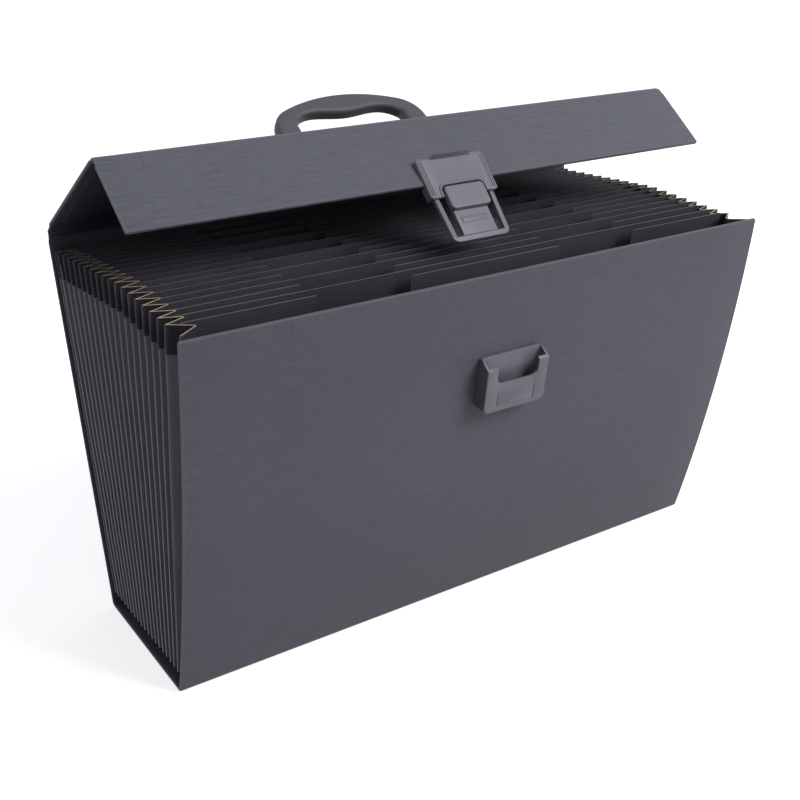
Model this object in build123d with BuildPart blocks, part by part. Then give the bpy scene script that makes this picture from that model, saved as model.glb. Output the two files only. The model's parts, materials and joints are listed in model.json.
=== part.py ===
from build123d import *
from math import asin, cos, degrees, hypot, radians, sin, tan
import os

# Portable expanding file: a folding board cover round a pleated accordion of pockets, with a
# carrying handle on the lid and a clip latch between the flap and the front board.
# Millimetres and degrees. X runs along the width, +Y to the back and +Z up. The origin is the
# centre of the bottom board's underside. The file stands open, its lid half raised.

os.makedirs("parts", exist_ok=True)

# Cover boards
cover_width = 385.0
board_thickness = 2.5
corner_radius = 1.2
bottom_depth = 103.0
front_height = 225.0
front_foot_lean = 15.1
front_top_lean = 5.0
back_height = 230.5
back_lean = 10.3
hinge_strip_height = 8.0
hinge_strip_lean = 23.5
lid_depth = 101.0
lid_rise = 32.2
flap_strip_depth = 4.0
flap_strip_rise = -2.3
flap_height = 46.5
flap_fall = 37.2
crease_gap = 0.3
crease_mitre = 30.0
foot_mitre = 24.0

# Lining sheets, set in from the boards' edges so that the turned-in cover shows round them
lining_thickness = 0.5
lining_border = 6.0
front_lining_gap = 0.05

# Accordion
pocket_count = 19
divider_thickness = 0.6
divider_drop = 11.2
divider_foot = 4.4
first_divider_lean = 6.9
last_divider_lean = -10.4
divider_edge_inset = 2.0
tab_corner = 1.5
notch_start = 51.0
notch_end = 108.0
notch_depth = 12.0
gusset_inset = 2.0
gusset_depth = 12.0
gusset_foot = 9.2
gusset_wall = 0.4
gusset_fold_half = 0.8
gusset_end_gap = 0.3
tape_height = 15.5
tape_thickness = 0.2
tape_gap = 0.05
floor_wall = 0.4
floor_valley = 3.25
floor_valley_half = 0.9
floor_peak = 7.0
floor_peak_half = 0.4
floor_side_gap = 3.0

# Rivets and the plates that they hold inside the cover
plate_thickness = 1.0
rivet_radius = 1.9
rivet_clearance = 0.1
rivet_head_radius = 3.2
rivet_head_thickness = 0.8

# Handle
handle_set_back = 55.0
handle_lean = 25.0
handle_foot_half = 56.0
handle_shoulder_half = 52.5
handle_shoulder_height = 36.5
handle_height = 50.7
handle_shoulder_radius = 20.0
handle_gap_half = 39.0
handle_gap_top_half = 38.0
handle_gap_shoulder = 30.0
handle_recess_half = 23.0
handle_recess_height = 37.1
handle_swell_half = 12.5
handle_swell_height = 36.2
handle_belly_height = 35.0
handle_gap_corner = 3.0
handle_thickness = 9.0
handle_edge_radius = 3.0
handle_seat_gap = 0.1
handle_post_depth = 3.0
handle_plate_length = 130.0
handle_plate_width = 18.0
handle_rivet_half = 47.0

# Latch on the flap, measured down from the flap's crease, its face hung steeper than the flap
latch_offset = 2.3
latch_tilt = 9.0
latch_rise = 1.2
latch_seat_gap = 0.1
housing_width = 46.0
housing_top = 31.0
housing_length = 25.2
housing_thickness = 5.6
housing_roof = 1.6
housing_corner = 2.0
housing_edge = 0.8
housing_side_wall = 1.2
housing_rim = 1.1
housing_rim_height = 0.5
housing_notch_corner = 3.5
housing_lip = 1.6
housing_lip_rise = 2.4
housing_lip_half = 13.8
housing_lip_crest_half = 12.0
housing_lip_root = 2.0
housing_groove_half = 21.5
housing_inner_groove_half = 20.0
housing_groove_width = 0.5
housing_groove_depth = 0.3
housing_groove_end = 1.5
button_half = 13.4
button_top = 50.4
button_bottom = 64.8
button_height = 7.0
button_corner = 2.5
button_edge = 0.8
button_gap = 1.3
frame_half = 20.6
frame_end_half = 19.2
frame_top = 47.6
frame_bar_end = 49.5
frame_end = 83.4
frame_lift = 1.0
frame_thickness = 2.6
frame_corner = 4.0
frame_rail = 2.9
frame_end_bar = 3.2
part_gap = 0.3
tongue_half = 11.6
tongue_root_gap = 0.15
tongue_top_gap = 0.5
barb_half = 8.5
barb_top = 69.3
barb_width = 3.2
barb_height = 0.4
latch_rivet_half = 14.0
latch_rivet_drop = 40.0
latch_rivet_bite = 1.2
latch_plate_length = 40.0
latch_plate_width = 12.0

# Catch on the front board, measured up along the board from its foot
catch_offset = 4.6
catch_foot = 144.7
catch_height = 32.0
catch_width = 43.1
catch_depth = 9.6
catch_back_wall = 2.0
catch_front_wall = 1.8
catch_side_wall = 1.3
catch_floor = 2.5
catch_arm_drop = 4.4
catch_corner = 4.0
catch_top_corner = 2.0
catch_edge = 0.8
catch_window_half = 14.4
catch_window_sill = 17.8
catch_window_corner = 4.5
catch_panel_half = 13.0
catch_panel_foot = 3.1
catch_panel_height = 10.3
catch_panel_line = 0.5
catch_panel_depth = 0.3
catch_panel_corner = 1.5
catch_seat_gap = 0.15
catch_plate_gap = 0.05
catch_rivet_half = 12.0
catch_rivet_drop = 6.0
catch_plate_length = 40.0
catch_plate_width = 12.0


def side(angle, length):
    """A step in the side view (Y, Z), its angle counted up from straight back."""
    return Vector(length * cos(radians(angle)), length * sin(radians(angle)))


def in_space(point, x=0.0):
    """A point of the side view as a point in space."""
    return (x, point.X, point.Y)


def face_plane(point, angle, x=0.0):
    """The outer face of a board that runs at angle, local Y along it and local Z outwards."""
    outward = side(angle - 90, 1)
    return Plane(origin=in_space(point, x), x_dir=(-1, 0, 0), z_dir=in_space(outward))


# Where the creases lie in the side view, from the back foot over the lid to the flap
front_foot = Vector(-bottom_depth / 2, 0)
back_foot = Vector(bottom_depth / 2, 0)
back_angle = 90 - back_lean
hinge_strip_angle = 90 + hinge_strip_lean
lid_angle = 180 - lid_rise
flap_strip_angle = 180 - flap_strip_rise
flap_angle = 180 + flap_fall
back_crease = back_foot + side(back_angle, back_height)
lid_crease = back_crease + side(hinge_strip_angle, hinge_strip_height)
lid_front_crease = lid_crease + side(lid_angle, lid_depth)
flap_crease = lid_front_crease + side(flap_strip_angle, flap_strip_depth)
flap_face = face_plane(flap_crease, flap_angle)
flap_inner_face = flap_face.offset(-board_thickness - lining_thickness)
lid_face = face_plane(lid_crease, lid_angle)
lid_inner_face = lid_face.offset(-board_thickness - lining_thickness)

# The front board is an arc: its foot leans out more than its top
front_radius = front_height / radians(front_foot_lean - front_top_lean)
front_centre = front_foot + side(front_foot_lean, front_radius)
front_turn = front_top_lean - front_foot_lean
front_inner_radius = front_radius - board_thickness
front_lining_outer_radius = front_inner_radius - front_lining_gap
front_lining_radius = front_lining_outer_radius - lining_thickness


def front_lean_at(rise):
    """The front board's lean at a distance up along it."""
    return front_foot_lean - degrees(rise / front_radius)


def front_plane_at(rise, x=0.0):
    """A plane on the front board, local X along the width, local Y up it and local Z outwards."""
    lean = front_lean_at(rise)
    point = front_centre - side(lean, front_radius)
    return Plane(origin=in_space(point, x), x_dir=(1, 0, 0), z_dir=in_space(side(180 + lean, 1)))


def on_board(start, angle, along, depth):
    """A point of a flat board's side view, along it from its start and in from its outer face."""
    return start + side(angle, along) + side(angle + 90, depth)


def creased_board(start, angle, length):
    """The side view of a flat board with a crease at each end, both ends cut back on the inside."""
    return [
        on_board(start, angle, half_gap, 0),
        on_board(start, angle, length - half_gap, 0),
        on_board(start, angle, length - half_gap - crease_cut, board_thickness),
        on_board(start, angle, half_gap + crease_cut, board_thickness),
    ]


def lining_section(start, angle, length):
    """The side view of the lining on the inside of a flat board."""
    return [
        on_board(start, angle, lining_border, board_thickness),
        on_board(start, angle, length - lining_border, board_thickness),
        on_board(start, angle, length - lining_border, board_thickness + lining_thickness),
        on_board(start, angle, lining_border, board_thickness + lining_thickness),
    ]


def fill(corners):
    """Add the filled outline through the corners to the sketch being built."""
    Polygon(*corners, align=None)


foot_cut = board_thickness * tan(radians(foot_mitre))
crease_cut = board_thickness * tan(radians(crease_mitre))
half_gap = crease_gap / 2

# Bottom board, between the feet of the front and back boards
bottom_half = bottom_depth / 2 - board_thickness - crease_gap
with BuildPart() as bottom_board:
    with BuildSketch():
        Rectangle(cover_width, 2 * bottom_half)
    extrude(amount=board_thickness)
bottom_board.part.label = "bottom_board"
export_step(bottom_board.part, "parts/bottom_board.step")

with BuildPart() as bottom_lining:
    with BuildSketch(Plane.XY.offset(board_thickness)):
        Rectangle(cover_width - 2 * lining_border, 2 * bottom_half - lining_border)
    extrude(amount=lining_thickness)
bottom_lining.part.label = "bottom_lining"
export_step(bottom_lining.part, "parts/bottom_lining.step")

# Front board, bowed, with round top corners and holes for the catch's rivets
catch_middle = catch_foot + catch_height / 2
catch_rivet_plane = front_plane_at(catch_middle, catch_offset)
catch_rivet_spots = [(-catch_rivet_half, -catch_rivet_drop), (catch_rivet_half, -catch_rivet_drop)]
with BuildPart() as front_board:
    with BuildSketch(Plane.YZ):
        with BuildLine():
            outer = CenterArc(front_centre, front_radius, 180 + front_foot_lean, front_turn)
            trim = degrees(foot_cut / front_inner_radius)
            start = 180 + front_foot_lean - trim
            inner = CenterArc(front_centre, front_inner_radius, start, front_turn + trim)
            Line(outer @ 0, inner @ 0)
            Line(outer @ 1, inner @ 1)
        make_face()
    extrude(amount=cover_width / 2, both=True)
    top_normal = in_space(side(front_top_lean, 1))
    top_corners = front_board.edges().filter_by(Axis((0, 0, 0), top_normal)).group_by(Axis.Z)[-1]
    fillet(top_corners, corner_radius)
    with BuildSketch(catch_rivet_plane):
        with Locations(*catch_rivet_spots):
            Circle(rivet_radius + rivet_clearance)
    extrude(amount=2 * board_thickness, both=True, mode=Mode.SUBTRACT)
front_board.part.label = "front_board"
export_step(front_board.part, "parts/front_board.step")

lining_trim = degrees(lining_border / front_radius)
with BuildPart() as front_lining:
    with BuildSketch(Plane.YZ):
        with BuildLine():
            start = 180 + front_foot_lean - lining_trim
            sweep_angle = front_turn + 2 * lining_trim
            outer = CenterArc(front_centre, front_lining_outer_radius, start, sweep_angle)
            inner = CenterArc(front_centre, front_lining_radius, start, sweep_angle)
            Line(outer @ 0, inner @ 0)
            Line(outer @ 1, inner @ 1)
        make_face()
    extrude(amount=cover_width / 2 - lining_border, both=True)
    with BuildSketch(catch_rivet_plane):
        with Locations(*catch_rivet_spots):
            Circle(rivet_radius + rivet_clearance)
    extrude(amount=3 * board_thickness, both=True, mode=Mode.SUBTRACT)
front_lining.part.label = "front_lining"
export_step(front_lining.part, "parts/front_lining.step")

# Back board and its lining
with BuildPart() as back_board:
    with BuildSketch(Plane.YZ):
        fill(
            [
                back_foot,
                back_foot + side(back_angle, back_height - half_gap),
                on_board(back_foot, back_angle, back_height - half_gap - crease_cut, board_thickness),
                on_board(back_foot, back_angle, foot_cut, board_thickness),
            ]
        )
    extrude(amount=cover_width / 2, both=True)
back_board.part.label = "back_board"
export_step(back_board.part, "parts/back_board.step")

with BuildPart() as back_lining:
    with BuildSketch(Plane.YZ):
        fill(lining_section(back_foot, back_angle, back_height))
    extrude(amount=cover_width / 2 - lining_border, both=True)
back_lining.part.label = "back_lining"
export_step(back_lining.part, "parts/back_lining.step")

# Strip between the two creases behind the lid
with BuildPart() as lid_hinge_strip:
    with BuildSketch(Plane.YZ):
        fill(creased_board(back_crease, hinge_strip_angle, hinge_strip_height))
    extrude(amount=cover_width / 2, both=True)
lid_hinge_strip.part.label = "lid_hinge_strip"
export_step(lid_hinge_strip.part, "parts/lid_hinge_strip.step")

# Lid board and its lining, with holes for the handle's rivets
handle_rivet_spots = [
    (-handle_rivet_half, lid_depth - handle_set_back),
    (handle_rivet_half, lid_depth - handle_set_back),
]
with BuildPart() as lid_board:
    with BuildSketch(Plane.YZ):
        fill(creased_board(lid_crease, lid_angle, lid_depth))
    extrude(amount=cover_width / 2, both=True)
    with BuildSketch(lid_face):
        with Locations(*handle_rivet_spots):
            Circle(rivet_radius + rivet_clearance)
    extrude(amount=-board_thickness, mode=Mode.SUBTRACT)
lid_board.part.label = "lid_board"
export_step(lid_board.part, "parts/lid_board.step")

with BuildPart() as lid_lining:
    with BuildSketch(Plane.YZ):
        fill(lining_section(lid_crease, lid_angle, lid_depth))
    extrude(amount=cover_width / 2 - lining_border, both=True)
    with BuildSketch(lid_inner_face):
        with Locations(*handle_rivet_spots):
            Circle(rivet_radius + rivet_clearance)
    extrude(amount=lining_thickness, mode=Mode.SUBTRACT)
lid_lining.part.label = "lid_lining"
export_step(lid_lining.part, "parts/lid_lining.step")

# Narrow fold between the lid and the flap
with BuildPart() as flap_hinge_strip:
    with BuildSketch(Plane.YZ):
        fill(creased_board(lid_front_crease, flap_strip_angle, flap_strip_depth))
    extrude(amount=cover_width / 2, both=True)
flap_hinge_strip.part.label = "flap_hinge_strip"
export_step(flap_hinge_strip.part, "parts/flap_hinge_strip.step")

# Flap board and its lining, with holes for the latch's rivets
latch_rivet_spots = [
    (-latch_rivet_half - latch_offset, latch_rivet_drop),
    (latch_rivet_half - latch_offset, latch_rivet_drop),
]
with BuildPart() as flap_board:
    with BuildSketch(Plane.YZ):
        fill(
            [
                flap_crease + side(flap_angle, half_gap),
                flap_crease + side(flap_angle, flap_height),
                on_board(flap_crease, flap_angle, flap_height, board_thickness),
                on_board(flap_crease, flap_angle, half_gap + crease_cut, board_thickness),
            ]
        )
    extrude(amount=cover_width / 2, both=True)
    flap_normal = in_space(side(flap_angle + 90, 1))
    fillet(flap_board.edges().filter_by(Axis((0, 0, 0), flap_normal)).group_by(Axis.Z)[0], corner_radius)
    with BuildSketch(flap_face):
        with Locations(*latch_rivet_spots):
            Circle(rivet_radius + rivet_clearance)
    extrude(amount=-board_thickness, mode=Mode.SUBTRACT)
flap_board.part.label = "flap_board"
export_step(flap_board.part, "parts/flap_board.step")

with BuildPart() as flap_lining:
    with BuildSketch(Plane.YZ):
        fill(lining_section(flap_crease, flap_angle, flap_height))
    extrude(amount=cover_width / 2 - lining_border, both=True)
    with BuildSketch(flap_inner_face):
        with Locations(*latch_rivet_spots):
            Circle(rivet_radius + rivet_clearance)
    extrude(amount=lining_thickness, mode=Mode.SUBTRACT)
flap_lining.part.label = "flap_lining"
export_step(flap_lining.part, "parts/flap_lining.step")

# Dividers fan out from their feet, the first next to the front board
divider_count = pocket_count - 1
divider_height = back_height - divider_drop
inner_half = bottom_depth / 2 - board_thickness
pocket_pitch = 2 * inner_half / pocket_count
lean_step = (last_divider_lean - first_divider_lean) / (divider_count - 1)
gusset_outer_half = cover_width / 2 - gusset_inset
divider_half = gusset_outer_half - gusset_wall - divider_edge_inset


def divider_y(number):
    """Where a divider's foot stands."""
    return pocket_pitch * number - inner_half


def divider_lean(number):
    """How far a divider leans to the front."""
    return first_divider_lean + lean_step * (number - 1)


def divider_outline(notched):
    """Half of a divider's outline, from the foot's middle round to the middle of its top."""
    points = [(0, 0), (divider_half, 0), (divider_half, divider_height)]
    if notched:
        points += [
            (notch_end, divider_height),
            (notch_end, divider_height - notch_depth),
            (notch_start, divider_height - notch_depth),
            (notch_start, divider_height),
        ]
    return points + [(0, divider_height)]


for number in range(1, divider_count + 1):
    lean = divider_lean(number)
    stand = Plane(
        origin=(0, divider_y(number), divider_foot),
        x_dir=(1, 0, 0),
        z_dir=in_space(side(180 + lean, 1)),
    )
    with BuildPart() as divider:
        with BuildSketch(stand) as outline:
            fill(divider_outline(notched=number % 2 == 1))
            top_points = outline.vertices().group_by(Axis.Y)[-1]
            fillet(top_points.filter_by(lambda v: v.X > 0), tab_corner)
            mirror(about=Plane.YZ)
        extrude(amount=divider_thickness / 2, both=True)
    divider.part.label = f"divider_{number:02d}"
    export_step(divider.part, f"parts/divider_{number:02d}.step")


def wall_y(number, height):
    """Where a pocket's wall stands at a height: the cover for the first and last, else a divider."""
    if number == 0:
        reach = (height - front_centre.Y) / front_lining_radius
        return front_centre.X - front_lining_radius * cos(asin(reach)) + gusset_end_gap
    if number == pocket_count:
        inwards = (board_thickness + lining_thickness) / cos(radians(back_lean))
        return back_foot.X + height * tan(radians(back_lean)) - inwards - gusset_end_gap
    return divider_y(number) - (height - divider_foot) * tan(radians(divider_lean(number)))


def pleat_path(height):
    """The pleats seen from above at a height, from the front board to the back board."""
    inner = gusset_outer_half - gusset_depth
    path = [(gusset_outer_half, wall_y(0, height))]
    for number in range(pocket_count):
        middle = (wall_y(number, height) + wall_y(number + 1, height)) / 2
        path += [(inner, middle - gusset_fold_half), (inner, middle + gusset_fold_half)]
        if number < divider_count:
            fold = wall_y(number + 1, height)
            path += [(gusset_outer_half, fold - gusset_fold_half), (gusset_outer_half, fold + gusset_fold_half)]
    return path + [(gusset_outer_half, wall_y(pocket_count, height))]


def beside(path, distance):
    """The path moved sideways by a distance, outwards where it is positive, its corners kept sharp."""
    steps = [(b[0] - a[0], b[1] - a[1]) for a, b in zip(path, path[1:])]
    normals = [(step[1] / hypot(*step), -step[0] / hypot(*step)) for step in steps]
    moved = []
    for place, point in enumerate(path):
        before = normals[max(place - 1, 0)]
        after = normals[min(place, len(normals) - 1)]
        share = distance / (1 + before[0] * after[0] + before[1] * after[1])
        moved.append((point[0] + (before[0] + after[0]) * share, point[1] + (before[1] + after[1]) * share))
    return moved


def pleat_outline(height, near, far):
    """The cut through a pleated sheet at a height, between two distances from the pleats' middle."""
    path = pleat_path(height)
    return beside(path, near) + beside(path, far)[::-1]


# Pleated sides, and the tape that covers their outside along the top
pleat_top = divider_foot + divider_height * cos(radians(last_divider_lean))
tape_foot = pleat_top - tape_height
half_wall = gusset_wall / 2
with BuildPart() as gusset_right:
    for height in (gusset_foot, (gusset_foot + tape_foot) / 2, tape_foot, pleat_top):
        with BuildSketch(Plane.XY.offset(height)):
            fill(pleat_outline(height, -half_wall, half_wall))
    loft(ruled=True)
gusset_right.part.label = "gusset_right"
export_step(gusset_right.part, "parts/gusset_right.step")

with BuildPart() as gusset_left:
    mirror(gusset_right.part, about=Plane.YZ)
gusset_left.part.label = "gusset_left"
export_step(gusset_left.part, "parts/gusset_left.step")

tape_near = half_wall + tape_gap
with BuildPart() as gusset_tape_right:
    for height in (tape_foot, pleat_top):
        with BuildSketch(Plane.XY.offset(height)):
            fill(pleat_outline(height, tape_near, tape_near + tape_thickness))
    loft(ruled=True)
gusset_tape_right.part.label = "gusset_tape_right"
export_step(gusset_tape_right.part, "parts/gusset_tape_right.step")

with BuildPart() as gusset_tape_left:
    mirror(gusset_tape_right.part, about=Plane.YZ)
gusset_tape_left.part.label = "gusset_tape_left"
export_step(gusset_tape_left.part, "parts/gusset_tape_left.step")

# Pleated floor under the pockets, its valleys under the dividers' feet
floor_half = gusset_outer_half - gusset_depth - floor_side_gap
floor_path = [(divider_y(0) + floor_valley_half, floor_valley)]
for number in range(pocket_count):
    peak = divider_y(number) + pocket_pitch / 2
    valley = divider_y(number + 1)
    floor_path += [(peak - floor_peak_half, floor_peak), (peak + floor_peak_half, floor_peak)]
    floor_path += [(valley - floor_valley_half, floor_valley), (valley + floor_valley_half, floor_valley)]
floor_path.pop()
with BuildPart() as pocket_floor:
    with BuildSketch(Plane.YZ):
        fill(beside(floor_path, -floor_wall / 2) + beside(floor_path, floor_wall / 2)[::-1])
    extrude(amount=floor_half, both=True)
pocket_floor.part.label = "pocket_floor"
export_step(pocket_floor.part, "parts/pocket_floor.step")

# Handle, a moulded grip on two legs, its underside swelling down between two finger recesses
handle_place = lid_depth - handle_set_back
handle_plane = Plane(
    origin=in_space(on_board(lid_crease, lid_angle, handle_place, -handle_seat_gap)),
    x_dir=(-1, 0, 0),
    z_dir=in_space(side(lid_angle + 180 - handle_lean, 1)),
)
handle_sole = lid_face.offset(handle_seat_gap)
handle_across = Axis((0, 0, 0), handle_plane.z_dir)
foot_depth = handle_thickness * tan(radians(handle_lean))
with BuildPart() as handle_grip:
    with BuildSketch(handle_plane):
        with BuildLine():
            top = ThreePointArc(
                (-handle_shoulder_half, handle_shoulder_height),
                (0, handle_height),
                (handle_shoulder_half, handle_shoulder_height),
            )
            under = Spline(
                (-handle_gap_top_half, handle_gap_shoulder),
                (-handle_recess_half, handle_recess_height),
                (-handle_swell_half, handle_swell_height),
                (0, handle_belly_height),
                (handle_swell_half, handle_swell_height),
                (handle_recess_half, handle_recess_height),
                (handle_gap_top_half, handle_gap_shoulder),
            )
            for mirrored, outer_end, inner_end in ((1, top @ 1, under @ 1), (-1, top @ 0, under @ 0)):
                outer_foot = (mirrored * handle_foot_half, -foot_depth)
                inner_foot = (mirrored * handle_gap_half, -foot_depth)
                Polyline(outer_end, outer_foot, inner_foot, inner_end)
        make_face()
    extrude(amount=handle_thickness / 2, both=True)
    for place, radius in (
        (handle_shoulder_half, handle_shoulder_radius),
        (handle_gap_top_half, handle_gap_corner),
    ):
        cross_edges = handle_grip.edges().filter_by(handle_across)
        fillet(cross_edges.filter_by(lambda e: abs(abs(e.center().X) - place) < 0.1), radius)
    flank_edges = handle_grip.faces().filter_by(handle_across).edges()
    upper_edges = flank_edges.filter_by(
        lambda e: handle_plane.to_local_coords(e.center()).Y > 0.1 - foot_depth
    )
    fillet(upper_edges, handle_edge_radius)
    with BuildSketch(handle_sole):
        with Locations((0, handle_place)):
            Rectangle(3 * handle_foot_half, 4 * handle_thickness)
    extrude(amount=-4 * handle_thickness, mode=Mode.SUBTRACT)
    with BuildSketch(handle_sole):
        with Locations(*handle_rivet_spots):
            Circle(rivet_radius + rivet_clearance)
    extrude(amount=handle_post_depth, mode=Mode.SUBTRACT)
handle_grip.part.label = "handle_grip"
export_step(handle_grip.part, "parts/handle_grip.step")

with BuildPart() as handle_plate:
    with BuildSketch(lid_inner_face):
        with Locations((0, handle_place)):
            Rectangle(handle_plate_length, handle_plate_width)
        with Locations(*handle_rivet_spots):
            Circle(rivet_radius + rivet_clearance, mode=Mode.SUBTRACT)
    extrude(amount=-plate_thickness)
handle_plate.part.label = "handle_plate"
export_step(handle_plate.part, "parts/handle_plate.step")

# Rivets, their heads on the plate and their shanks through the cover into the moulding
with BuildPart() as handle_rivets:
    with BuildSketch(lid_inner_face.offset(-plate_thickness)):
        with Locations(*handle_rivet_spots):
            Circle(rivet_head_radius)
    extrude(amount=-rivet_head_thickness)
    with BuildSketch(lid_inner_face.offset(-plate_thickness)):
        with Locations(*handle_rivet_spots):
            Circle(rivet_radius)
    extrude(amount=plate_thickness + lining_thickness + board_thickness + handle_post_depth - rivet_clearance)
handle_rivets.part.label = "handle_rivets"
export_step(handle_rivets.part, "parts/handle_rivets.step")

# Latch housing, a hollow cover over the flap's lower edge, lipped above and notched below
latch_angle = flap_angle + latch_tilt
latch_edge = on_board(flap_crease, flap_angle, flap_height, -latch_rise)
latch_back_edge = latch_edge + side(latch_angle + 90, housing_thickness)
latch_start = latch_back_edge - side(latch_angle, flap_height)
latch_face = face_plane(latch_start, latch_angle, latch_offset)


def latch_point(along, height):
    """A point of the latch's side view, along it from its start and out from its back."""
    return latch_start + side(latch_angle, along) + side(latch_angle - 90, height)


housing_end = housing_top + housing_length
housing_inside = housing_thickness - housing_roof
lip_root = housing_thickness - housing_lip_root
lip_crest = housing_thickness + housing_lip_rise
latch_top_plane = Plane(
    origin=in_space(latch_point(housing_top, 0), latch_offset),
    x_dir=(1, 0, 0),
    z_dir=in_space(side(latch_angle, 1)),
)
cavity_top = flap_height + latch_rise * sin(radians(latch_tilt))
cavity_half = housing_width / 2 - housing_side_wall
rim_corner = housing_notch_corner + housing_rim
notch_top = button_top - button_gap
notch_half = button_half + button_gap
notch_length = housing_end - notch_top
with BuildPart() as latch_housing:
    with BuildSketch(latch_face):
        with Locations((0, housing_top + housing_length / 2)):
            RectangleRounded(housing_width, housing_length, housing_corner)
    extrude(amount=housing_thickness)
    fillet(latch_housing.faces().sort_by(Axis((0, 0, 0), latch_face.z_dir))[-1].edges(), housing_edge)
    with BuildSketch(latch_top_plane):
        fill(
            [
                (-housing_lip_half, lip_root),
                (housing_lip_half, lip_root),
                (housing_lip_half, housing_thickness),
                (housing_lip_crest_half, lip_crest),
                (-housing_lip_crest_half, lip_crest),
                (-housing_lip_half, housing_thickness),
            ]
        )
    extrude(amount=housing_lip)
    with BuildSketch(Plane.YZ):
        fill(
            [
                latch_point(housing_top, lip_crest),
                latch_point(housing_top + housing_lip, housing_thickness),
                latch_point(housing_top + housing_lip, 2 * lip_crest),
                latch_point(housing_top, 2 * lip_crest),
            ]
        )
    extrude(amount=cover_width / 2, both=True, mode=Mode.SUBTRACT)
    with BuildSketch(latch_face):
        with Locations((0, cavity_top + housing_length / 2)):
            Rectangle(2 * cavity_half, housing_length)
    extrude(amount=housing_inside, mode=Mode.SUBTRACT)
    with BuildSketch(Plane.YZ):
        fill(
            [
                on_board(flap_crease, flap_angle, 0, -latch_seat_gap),
                on_board(flap_crease, flap_angle, flap_height + part_gap, -latch_seat_gap),
                on_board(flap_crease, flap_angle, flap_height + part_gap, housing_thickness),
                on_board(flap_crease, flap_angle, 0, housing_thickness),
            ]
        )
    extrude(amount=cover_width / 2, both=True, mode=Mode.SUBTRACT)
    with BuildSketch(flap_face):
        with Locations(*latch_rivet_spots):
            Circle(rivet_radius + rivet_clearance)
    extrude(amount=latch_rivet_bite + rivet_clearance, mode=Mode.SUBTRACT)
    rim_plane = latch_face.offset(housing_thickness)
    with BuildSketch(rim_plane) as rim:
        with Locations((0, housing_end - (notch_length + housing_rim) / 2)):
            Rectangle(2 * (notch_half + housing_rim), notch_length + housing_rim)
        fillet(rim.vertices().group_by(Axis.Y)[0], rim_corner)
    extrude(amount=housing_rim_height)
    with BuildSketch(latch_face) as notch:
        with Locations((0, notch_top + notch_length)):
            Rectangle(2 * notch_half, 2 * notch_length)
        fillet(notch.vertices().group_by(Axis.Y)[0], housing_notch_corner)
    extrude(amount=2 * housing_thickness, mode=Mode.SUBTRACT)
    groove_length = housing_length - 2 * housing_groove_end
    with BuildSketch(rim_plane):
        with Locations(
            (-housing_groove_half, housing_top + housing_length / 2),
            (-housing_inner_groove_half, housing_top + housing_length / 2),
            (housing_inner_groove_half, housing_top + housing_length / 2),
            (housing_groove_half, housing_top + housing_length / 2),
        ):
            Rectangle(housing_groove_width, groove_length)
    extrude(amount=-housing_groove_depth, mode=Mode.SUBTRACT)
latch_housing.part.label = "latch_housing"
export_step(latch_housing.part, "parts/latch_housing.step")

# Latch frame, a flat tapered frame held under the housing, its open middle taking the sprung tongue
frame_base = latch_face.offset(frame_lift)
tongue_root = frame_end - frame_end_bar
with BuildPart() as latch_frame:
    with BuildSketch(frame_base) as outline:
        fill(
            [
                (-frame_half, frame_top),
                (frame_half, frame_top),
                (frame_end_half, frame_end),
                (-frame_end_half, frame_end),
            ]
        )
        fillet(outline.vertices().group_by(Axis.Y)[-1], frame_corner)
        slot_half = frame_half - frame_rail
        slot_end_half = frame_end_half - frame_rail
        Polygon(
            (-slot_half, frame_bar_end),
            (slot_half, frame_bar_end),
            (slot_end_half, tongue_root),
            (-slot_end_half, tongue_root),
            align=None,
            mode=Mode.SUBTRACT,
        )
    extrude(amount=frame_thickness)
latch_frame.part.label = "latch_frame"
export_step(latch_frame.part, "parts/latch_frame.step")

# Latch button, on a tongue that springs from the frame's lower bar
with BuildPart() as latch_button:
    with BuildSketch(frame_base.offset(frame_thickness)):
        with Locations((0, (button_top + button_bottom) / 2)):
            RectangleRounded(2 * button_half, button_bottom - button_top, button_corner)
    extrude(amount=button_height - frame_lift - frame_thickness)
    fillet(latch_button.faces().sort_by(Axis((0, 0, 0), latch_face.z_dir))[-1].edges(), button_edge)
    tongue_top = frame_bar_end + tongue_top_gap
    tongue_end = tongue_root - tongue_root_gap
    with BuildSketch(frame_base):
        with Locations((0, (tongue_top + tongue_end) / 2)):
            Rectangle(2 * tongue_half, tongue_end - tongue_top)
    extrude(amount=frame_thickness)
    with BuildSketch(frame_base.offset(frame_thickness)):
        with Locations((0, barb_top + barb_width / 2)):
            Rectangle(2 * barb_half, barb_width)
    extrude(amount=barb_height)
latch_button.part.label = "latch_button"
export_step(latch_button.part, "parts/latch_button.step")

with BuildPart() as latch_plate:
    with BuildSketch(flap_inner_face):
        with Locations((-latch_offset, latch_rivet_drop)):
            Rectangle(latch_plate_length, latch_plate_width)
        with Locations(*latch_rivet_spots):
            Circle(rivet_radius + rivet_clearance, mode=Mode.SUBTRACT)
    extrude(amount=-plate_thickness)
latch_plate.part.label = "latch_plate"
export_step(latch_plate.part, "parts/latch_plate.step")

with BuildPart() as latch_rivets:
    with BuildSketch(flap_inner_face.offset(-plate_thickness)):
        with Locations(*latch_rivet_spots):
            Circle(rivet_head_radius)
    extrude(amount=-rivet_head_thickness)
    with BuildSketch(flap_inner_face.offset(-plate_thickness)):
        with Locations(*latch_rivet_spots):
            Circle(rivet_radius)
    extrude(amount=plate_thickness + lining_thickness + board_thickness + latch_rivet_bite)
latch_rivets.part.label = "latch_rivets"
export_step(latch_rivets.part, "parts/latch_rivets.step")

# Catch, a socket open at the top that takes the latch's frame, its front cut to a U
catch_plane = front_plane_at(catch_middle, catch_offset).offset(catch_seat_gap)
catch_lean = front_lean_at(catch_middle)
catch_origin = Vector(catch_plane.origin.Y, catch_plane.origin.Z)


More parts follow.
